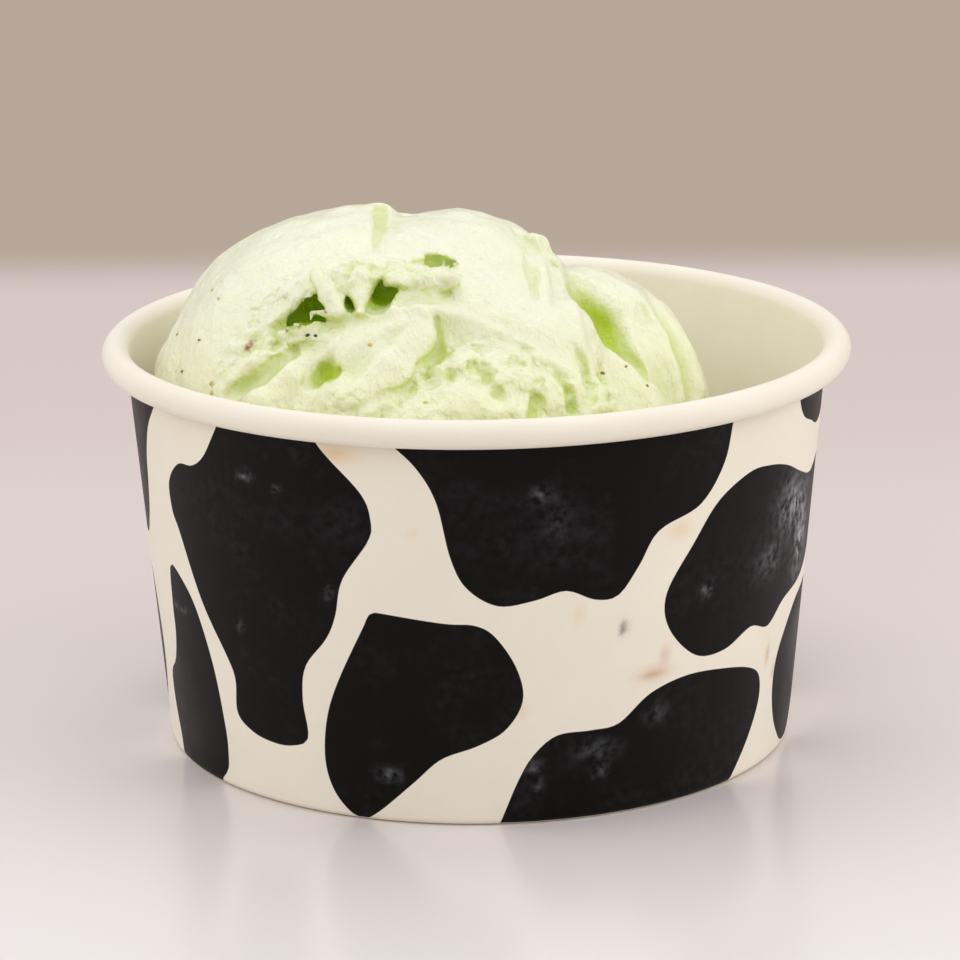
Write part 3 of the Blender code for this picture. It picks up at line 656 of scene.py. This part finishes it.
def skin(distances, low, pitch):
    """Wrap the zero level of a grid of distances: a point in each cell that it crosses, and
    a square face round each edge of the grid that it crosses."""
    inside = distances < 0
    corners = [(i, j, k) for i in (0, 1) for j in (0, 1) for k in (0, 1)]
    spans = tuple(n - 1 for n in inside.shape)

    def cut(step):
        return tuple(slice(s, s + n) for s, n in zip(step, spans))
    filled = sum(inside[cut(c)].astype(np.int8) for c in corners)
    cells = np.argwhere((filled > 0) & (filled < 8))
    name = np.full(spans, -1, dtype=np.int64)
    name[tuple(cells.T)] = np.arange(len(cells))
    total = np.zeros((len(cells), 3))
    count = np.zeros(len(cells))
    for start in corners:
        for axis in range(3):
            if start[axis]:
                continue
            end = tuple(1 if a == axis else s for a, s in enumerate(start))
            here = distances[tuple((cells + start).T)]
            there = distances[tuple((cells + end).T)]
            crossed = (here < 0) != (there < 0)
            share = np.where(crossed, here / np.where(crossed, here - there, 1), 0)
            total += crossed[:, None] * (np.array(start) + share[:, None] * np.eye(3)[axis])
            count += crossed
    points = low + (cells + total / count[:, None]) * pitch
    faces = []
    for axis in range(3):
        one, other = [(1, 2), (2, 0), (0, 1)][axis]
        lower = np.take(inside, np.arange(inside.shape[axis] - 1), axis=axis)
        upper = np.take(inside, np.arange(1, inside.shape[axis]), axis=axis)
        crossing = np.argwhere(lower != upper)
        kept = (crossing[:, one] > 0) & (crossing[:, other] > 0)
        kept &= (crossing[:, one] < spans[one]) & (crossing[:, other] < spans[other])
        crossing = crossing[kept]
        ring = []
        for a, b in ((0, 0), (1, 0), (1, 1), (0, 1)):
            cell = crossing.copy()
            cell[:, one] -= 1 - a
            cell[:, other] -= 1 - b
            ring.append(name[tuple(cell.T)])
        ring = np.stack(ring, axis=1)
        leaving = lower[tuple(crossing.T)]
        faces.append(np.where(leaving[:, None], ring, ring[:, ::-1]))
    return points, np.concatenate(faces)


def grid_axes(low, high, pitch):
    return [np.arange(round((b - a) / pitch) + 1) * pitch + a for a, b in zip(low, high)]


# A coarse grid finds where the surface is, and a fine one is worked out only near it
coarse_axes = grid_axes(GRID_LOW, GRID_HIGH, PITCH * COARSE)
coarse_places = np.stack(np.meshgrid(*coarse_axes, indexing="ij"), axis=-1)
coarse = gelato_distance(coarse_places.reshape(-1, 3)).reshape(coarse_places.shape[:3])
fine = coarse
for axis in range(3):
    steps = np.arange((fine.shape[axis] - 1) * COARSE + 1) / COARSE
    below = np.minimum(steps.astype(int), fine.shape[axis] - 2)
    share = (steps - below).reshape([-1 if a == axis else 1 for a in range(3)])
    fine = np.take(fine, below, axis=axis) * (1 - share) + np.take(fine, below + 1, axis=axis) * share
near = np.argwhere(np.abs(fine) < BAND)
fine[tuple(near.T)] = gelato_distance(GRID_LOW + near * PITCH)
points, faces = skin(fine, GRID_LOW, PITCH)
gelato_mesh = bpy.data.meshes.new("gelato_body")
gelato_mesh.vertices.add(len(points))
gelato_mesh.loops.add(faces.size)
gelato_mesh.polygons.add(len(faces))
gelato_mesh.loops.foreach_set("vertex_index", faces.ravel().astype(np.int32))
gelato_mesh.polygons.foreach_set("loop_start", np.arange(0, faces.size, 4, dtype=np.int32))
set_points(gelato_mesh, points)
gelato_mesh.update(calc_edges=True)
gelato_mesh.validate()
gelato = bpy.data.objects.new("gelato_body", gelato_mesh)
bpy.context.collection.objects.link(gelato)
bpy.ops.object.select_all(action="DESELECT")
bpy.context.view_layer.objects.active = gelato
gelato.select_set(True)


def slope_of(points, nudge=0.05):
    """Which way the distance grows at each point, and how steeply."""
    here = gelato_distance(points)
    sides = [gelato_distance(points + nudge * axis) - here for axis in np.eye(3)]
    return here, np.stack(sides, axis=1) / nudge


# The loose crumbs that the grid leaves in the air are dropped, and the open foot is drawn
# down inside the cup to its bottom and closed
highest = int(get_points(gelato_mesh)[:, 2].argmax())
gelato_mesh.polygons.foreach_set("select", [False] * len(gelato_mesh.polygons))
gelato_mesh.edges.foreach_set("select", [False] * len(gelato_mesh.edges))
gelato_mesh.vertices.foreach_set("select", [i == highest for i in range(len(gelato_mesh.vertices))])
bpy.ops.object.mode_set(mode="EDIT")
bpy.ops.mesh.select_mode(type="VERT")
bpy.ops.mesh.select_linked()
bpy.ops.mesh.select_all(action="INVERT")
bpy.ops.mesh.delete(type="VERT")
bpy.ops.object.mode_set(mode="OBJECT")
points = get_points(gelato_mesh)
here, slope = slope_of(points)
step = np.clip(here / np.maximum((slope**2).sum(axis=1), 0.25), -0.3, 0.3)
set_points(gelato_mesh, points - slope * step[:, None])
cup_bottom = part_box("cup_base")[1].z / MM + BOTTOM_CLEARANCE
bpy.ops.object.mode_set(mode="EDIT")
bpy.ops.mesh.select_all(action="DESELECT")
bpy.ops.mesh.select_non_manifold(extend=False, use_wire=False, use_boundary=True, use_multi_face=False,
                                 use_non_contiguous=False, use_verts=False)
foot = GRID_LOW[2] + PITCH / 2
bpy.ops.mesh.extrude_edges_move(TRANSFORM_OT_translate={"value": (0, 0, (cup_bottom - foot) * MM)})
shrink = (inner_radius(cup_bottom) - 0.1) / inner_radius(foot)
bpy.ops.transform.resize(value=(shrink, shrink, 1), center_override=(0, 0, 0))
bpy.ops.mesh.edge_face_add()
bpy.ops.object.mode_set(mode="OBJECT")
bpy.ops.object.shade_smooth()

# How far each point lies under the whole scoops, how shut in it is, and how torn it is. The first two set the painted
# shade that greens the folds, dips and caves.
points = get_points(gelato_mesh)
here, slope = slope_of(points)
outward = slope / np.maximum(np.linalg.norm(slope, axis=1), 1e-6)[:, None]
shut_in = np.zeros(len(points))
for reach in (1.4, 4.2):
    room = gelato_distance(points + outward * reach)
    shut_in += np.clip(1 - room / reach, 0, 1) / 2
paint(gelato_mesh, "sunk", np.clip(-massed(points), 0, 9))
paint(gelato_mesh, "shut_in", shut_in)
paint(gelato_mesh, "torn", share_near(points, TORN, TORN_FADE))
paint(gelato_mesh, "nut_stain", share_near(points, NUT_STAIN, 0.55))

# Pistachio gelato: milk, sugar and nut paste, churned with little air. Light sinks a few millimetres into it and comes
# back pale green. The strong leaf green deep in the folds, dips and caves is painted shade, mixed in by how shut in and
# how sunk each point is. It sheds a film of melt, so its smooth parts are slick.
pistachio, tree, shader = new_material("pistachio_gelato")
place = add(tree, "TexCoord").outputs["Object"]
sunk = add(tree, "Attribute", attribute_name="sunk").outputs["Fac"]
shut_in = add(tree, "Attribute", attribute_name="shut_in").outputs["Fac"]
torn = add(tree, "Attribute", attribute_name="torn").outputs["Fac"]
mottle = add(tree, "TexNoise", {"Vector": place, "Scale": 220.0, "Detail": 4.0, "Roughness": 0.6}).outputs["Fac"]
cream = add(tree, "Mix", {"Factor": mottle, "A": linear("#EDF1CF"), "B": linear("#F9FAE2")}, data_type="RGBA")
low = add(tree, "SeparateXYZ", {"Vector": place}).outputs["Z"]
low_share = add(tree, "MapRange", {"Value": low, "From Min": 0.055, "From Max": 0.044, "To Max": 0.6})
cream = add(tree, "Mix", {"Factor": low_share, "A": cream, "B": linear("#F0F2C6")}, data_type="RGBA")
patchy = add(tree, "TexNoise", {"Vector": place, "Scale": 420.0, "Detail": 2.0})
patchy = add(tree, "MapRange", {"Value": patchy, "From Min": 0.35, "From Max": 0.65})
clots = add(tree, "TexVoronoi", {"Vector": place, "Scale": 1000.0, "Smoothness": 0.6}, feature="SMOOTH_F1")
clot_depth = add(tree, "Math", {0: clots.outputs["Distance"], 1: torn}, operation="MULTIPLY")
clot_depth = add(tree, "Math", {0: clot_depth, 1: patchy}, operation="MULTIPLY")
# Painted shade: folds, dips and caves, and the gaps between torn clots, are mixed to deeper, more saturated greens by
# how shut in and how sunk each point is
fold_shade_share = add(tree, "MapRange", {"Value": shut_in, "From Min": 0.2, "From Max": 0.75, "To Max": 0.8})
fold_shade_share = add(tree, "Math", {0: clot_depth, 1: 0.35, 2: fold_shade_share}, operation="MULTIPLY_ADD", use_clamp=True)
fold_shaded = add(tree, "Mix", {"Factor": fold_shade_share, "A": cream, "B": linear("#D6E484")}, data_type="RGBA")
dip_shade_share = add(tree, "MapRange", {"Value": sunk, "From Min": 0.5, "From Max": 2.1})
dip_shaded = add(tree, "Mix", {"Factor": dip_shade_share, "A": fold_shaded, "B": linear("#C2D63A")}, data_type="RGBA")
cave_depth = add(tree, "Math", {0: sunk, 1: shut_in}, operation="MULTIPLY")
cave_shade_share = add(tree, "MapRange", {"Value": cave_depth, "From Min": 1.0, "From Max": 2.6})
cave_shaded = add(tree, "Mix", {"Factor": cave_shade_share, "A": dip_shaded, "B": linear("#ACDC08")}, data_type="RGBA")
nut_stain = add(tree, "Attribute", attribute_name="nut_stain").outputs["Fac"]
nut_stain = add(tree, "Math", {0: nut_stain, 1: patchy, 2: nut_stain}, operation="MULTIPLY_ADD", use_clamp=True)
cave_shaded = add(tree, "Mix", {"Factor": nut_stain, "A": cave_shaded, "B": linear("#A8744C")}, data_type="RGBA")
tree.links.new(cave_shaded.outputs[2], shader.inputs["Base Color"])
shader.inputs["Subsurface Weight"].default_value = 0.3
shader.inputs["Subsurface Radius"].default_value = (1.0, 1.0, 0.45)
shader.inputs["Subsurface Scale"].default_value = 0.001
shader.inputs["IOR"].default_value = 1.4
shader.inputs["Coat Weight"].default_value = 0.3
shader.inputs["Coat Roughness"].default_value = 0.12
shader.inputs["Coat IOR"].default_value = 1.33
sheen = add(tree, "MapRange", {"Value": torn, "To Min": 0.3, "To Max": 0.5})
tree.links.new(sheen.outputs[0], shader.inputs["Roughness"])
crystals = add(tree, "TexNoise", {"Vector": place, "Scale": 1500.0, "Detail": 4.0, "Roughness": 0.65})
drawn_out = add(tree, "Mapping", {"Vector": place, "Rotation": (0.0, radians(35), 0.0), "Scale": (900.0, 900.0, 260.0)})
wrinkles = add(tree, "TexNoise", {"Vector": drawn_out, "Scale": 1.0, "Detail": 4.0, "Roughness": 0.6})
swells = add(tree, "TexNoise", {"Vector": place, "Scale": 330.0, "Detail": 3.0, "Roughness": 0.55})
bump = add(tree, "Bump", {"Strength": 0.9, "Distance": 0.0002, "Height": crystals})
bump = add(tree, "Bump", {"Strength": 0.9, "Distance": 0.0005, "Height": wrinkles, "Normal": bump})
bump = add(tree, "Bump", {"Strength": 0.7, "Distance": 0.0005, "Height": swells, "Normal": bump})
bump = add(tree, "Bump", {"Strength": 0.9, "Distance": 0.0006, "Height": clot_depth, "Normal": bump}, invert=True)
tree.links.new(bump.outputs[0], shader.inputs["Normal"])
gelato_mesh.materials.append(pistachio)
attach(gelato, "root")
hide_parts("gelato")

# -------------------------------------------------------------------- the flecks
# Crumbs of roasted nut and scraps of its skin that were churned in and show at the surface:
# irregular chips under a millimetre across, sunk by half, with the mottled, matt face that
# roasting gives a nut and its papery skin.
FLECKS = {
    "nut_skin": ("#B58A5E", "#8E6440", [
        (-36.0, -8.0, 51.6, 0.30), (-32.4, -13.8, 51.9, 0.32), (-34.6, -13.2, 48.0, 0.35),
        (14.8, -12.4, 47.0, 0.36), (20.3, -7.4, 44.2, 0.36), (17.8, -7.3, 46.6, 0.25),
        (18.0, 14.0, 50.0, 0.35), (-12.0, 22.0, 54.0, 0.35), (-34.0, 9.0, 50.0, 0.35), (2.0, 24.0, 46.0, 0.3)]),
    "nut_crumbs": ("#E4D878", "#CDBC4C", [
        (-30.7, -18.9, 47.9, 0.45), (-30.7, -19.4, 46.9, 0.40), (-30.1, -11.8, 56.4, 0.35),
        (-31.1, -8.7, 56.7, 0.30), (-20.9, -19.3, 52.9, 0.34), (-12.2, -21.6, 52.9, 0.34),
        (-5.9, -26.3, 47.3, 0.36), (-24.0, 17.0, 55.0, 0.4), (6.0, 15.0, 55.0, 0.35), (-2.0, 22.0, 52.0, 0.3)]),
    "burnt_skin": ("#575052", "#3A3234", [(-19.4, -20.1, 53.9, 0.36), (-18.5, -20.0, 53.8, 0.30), (-30.0, 14.0, 48.0, 0.3)]),
}
rng = np.random.default_rng(7)
for name, (colour, dark_colour, spots) in FLECKS.items():
    chips = []
    for *spot, size in spots:
        _, spot, facing, _ = gelato.closest_point_on_mesh(Vector(spot) * MM)
        bpy.ops.mesh.primitive_ico_sphere_add(subdivisions=2, radius=size * MM, location=spot,
                                              rotation=facing.to_track_quat("Z", "Y").to_euler())
        chip = bpy.context.object
        chip.scale = (0.8, rng.uniform(0.4, 0.7), 0.4)
        bpy.ops.object.transform_apply(location=True, rotation=True, scale=True)
        set_points(chip.data, get_points(chip.data) + rng.normal(0, size * 0.12, (len(chip.data.vertices), 3)))
        chips.append(chip)
    for chip in chips:
        chip.select_set(True)
    bpy.ops.object.join()
    flecks = bpy.context.object
    flecks.name = flecks.data.name = name
    bpy.ops.object.shade_smooth()
    nut, tree, shader = new_material(name)
    place = add(tree, "TexCoord").outputs["Object"]
    grain = add(tree, "TexNoise", {"Vector": place, "Scale": 4000.0, "Detail": 3.0}).outputs["Fac"]
    tone = add(tree, "Mix", {"Factor": grain, "A": linear(colour), "B": linear(dark_colour)}, data_type="RGBA")
    tree.links.new(tone.outputs[2], shader.inputs["Base Color"])
    skin_bump = add(tree, "Bump", {"Strength": 0.5, "Distance": 0.00005, "Height": grain})
    tree.links.new(skin_bump.outputs[0], shader.inputs["Normal"])
    shader.inputs["Roughness"].default_value = 0.5
    flecks.data.materials.append(nut)
    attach(flecks, "root")

# --------------------------------------------------------------------- the stage
# A pale, slightly glossy table top with a soft far edge, a warm grey room behind it, broad
# soft lights, and a camera a little above the cup.
TABLE_RADIUS = 0.72
TABLE_CENTRE = (0.0, -0.36)
bpy.ops.object.select_all(action="DESELECT")
bpy.ops.mesh.primitive_circle_add(vertices=128, radius=TABLE_RADIUS, fill_type="NGON",
                                  location=(*TABLE_CENTRE, 0.0))
table = bpy.context.object
table.name = table.data.name = "table_top"
bpy.ops.object.transform_apply(location=True)
lacquer, tree, shader = new_material("pale_lacquered_table")
away = add(tree, "SeparateXYZ", {"Vector": add(tree, "TexCoord").outputs["Object"]}).outputs["Y"]
# Painted shade: the table top is mixed darker and pinker towards the back
far_shade_share = add(tree, "MapRange", {"Value": away, "From Min": -0.12, "From Max": 0.15})
tone = add(tree, "Mix", {"Factor": far_shade_share, "A": linear("#ECE8E4"), "B": linear("#D3C3C0")}, data_type="RGBA")
tree.links.new(tone.outputs[2], shader.inputs["Base Color"])
shader.inputs["Roughness"].default_value = 0.24
still_there = add(tree, "MapRange", {"Value": away, "From Min": 0.285, "From Max": 0.24},
                  interpolation_type="SMOOTHSTEP")
tree.links.new(still_there.outputs[0], shader.inputs["Alpha"])
table.data.materials.append(lacquer)

# The room is a warm grey near the horizon and lightens towards its white ceiling
world = bpy.data.worlds.new("warm_grey_room")
bpy.context.scene.world = world
world.use_nodes = True
tree = world.node_tree
direction = add(tree, "SeparateXYZ", {"Vector": add(tree, "TexCoord").outputs["Generated"]})
ceiling = add(tree, "MapRange", {"Value": direction.outputs["Z"], "From Min": 0.12, "From Max": 0.5},
              interpolation_type="SMOOTHSTEP")
room = add(tree, "Mix", {"Factor": ceiling, "A": linear("#B6A799"), "B": linear("#ECECF0")}, data_type="RGBA")
backdrop = tree.nodes["Background"]
tree.links.new(room.outputs[2], backdrop.inputs["Color"])
backdrop.inputs["Strength"].default_value = 1.0


def soft_light(name, place, size, power, colour):
    """A square softbox, turned towards the middle of the cup."""
    lamp = bpy.data.lights.new(name, "AREA")
    lamp.shape = "SQUARE"
    lamp.size = size
    lamp.energy = power
    lamp.color = colour[:3]
    light = bpy.data.objects.new(name, lamp)
    bpy.context.collection.objects.link(light)
    light.location = place
    light.rotation_euler = (Vector((0, 0, 0.04)) - Vector(place)).to_track_quat("-Z", "Y").to_euler()


soft_light("window_right", (0.85, -0.2, 0.42), 0.7, 3.0, linear("#FFFDFB"))
soft_light("wall_left", (-0.85, -0.15, 0.35), 0.7, 1.5, linear("#FFFFFF"))
soft_light("ceiling", (-0.2, 0.2, 1.0), 0.9, 2.0, linear("#FFFFFF"))
soft_light("fill_front", (-0.4, -0.95, 0.6), 0.9, 1.0, linear("#FFFFFF"))

EYE = Vector((0.0, -0.46581, 0.15912))
camera_data = bpy.data.cameras.new("camera")
camera = bpy.data.objects.new("camera", camera_data)
bpy.context.collection.objects.link(camera)
camera.location = EYE
aim = (Vector((0, 0, 0.025)) - EYE).to_track_quat("-Z", "Y")
camera.rotation_euler = (aim.to_matrix() @ Euler((0, 0, radians(-0.627))).to_matrix()).to_euler()
camera_data.sensor_width = 36.0
camera_data.lens = 148.70
camera_data.shift_x = 0.0018
camera_data.shift_y = 0.0472
camera_data.clip_start = 0.01
bpy.context.scene.camera = camera
bpy.context.scene.view_settings.view_transform = "Standard"
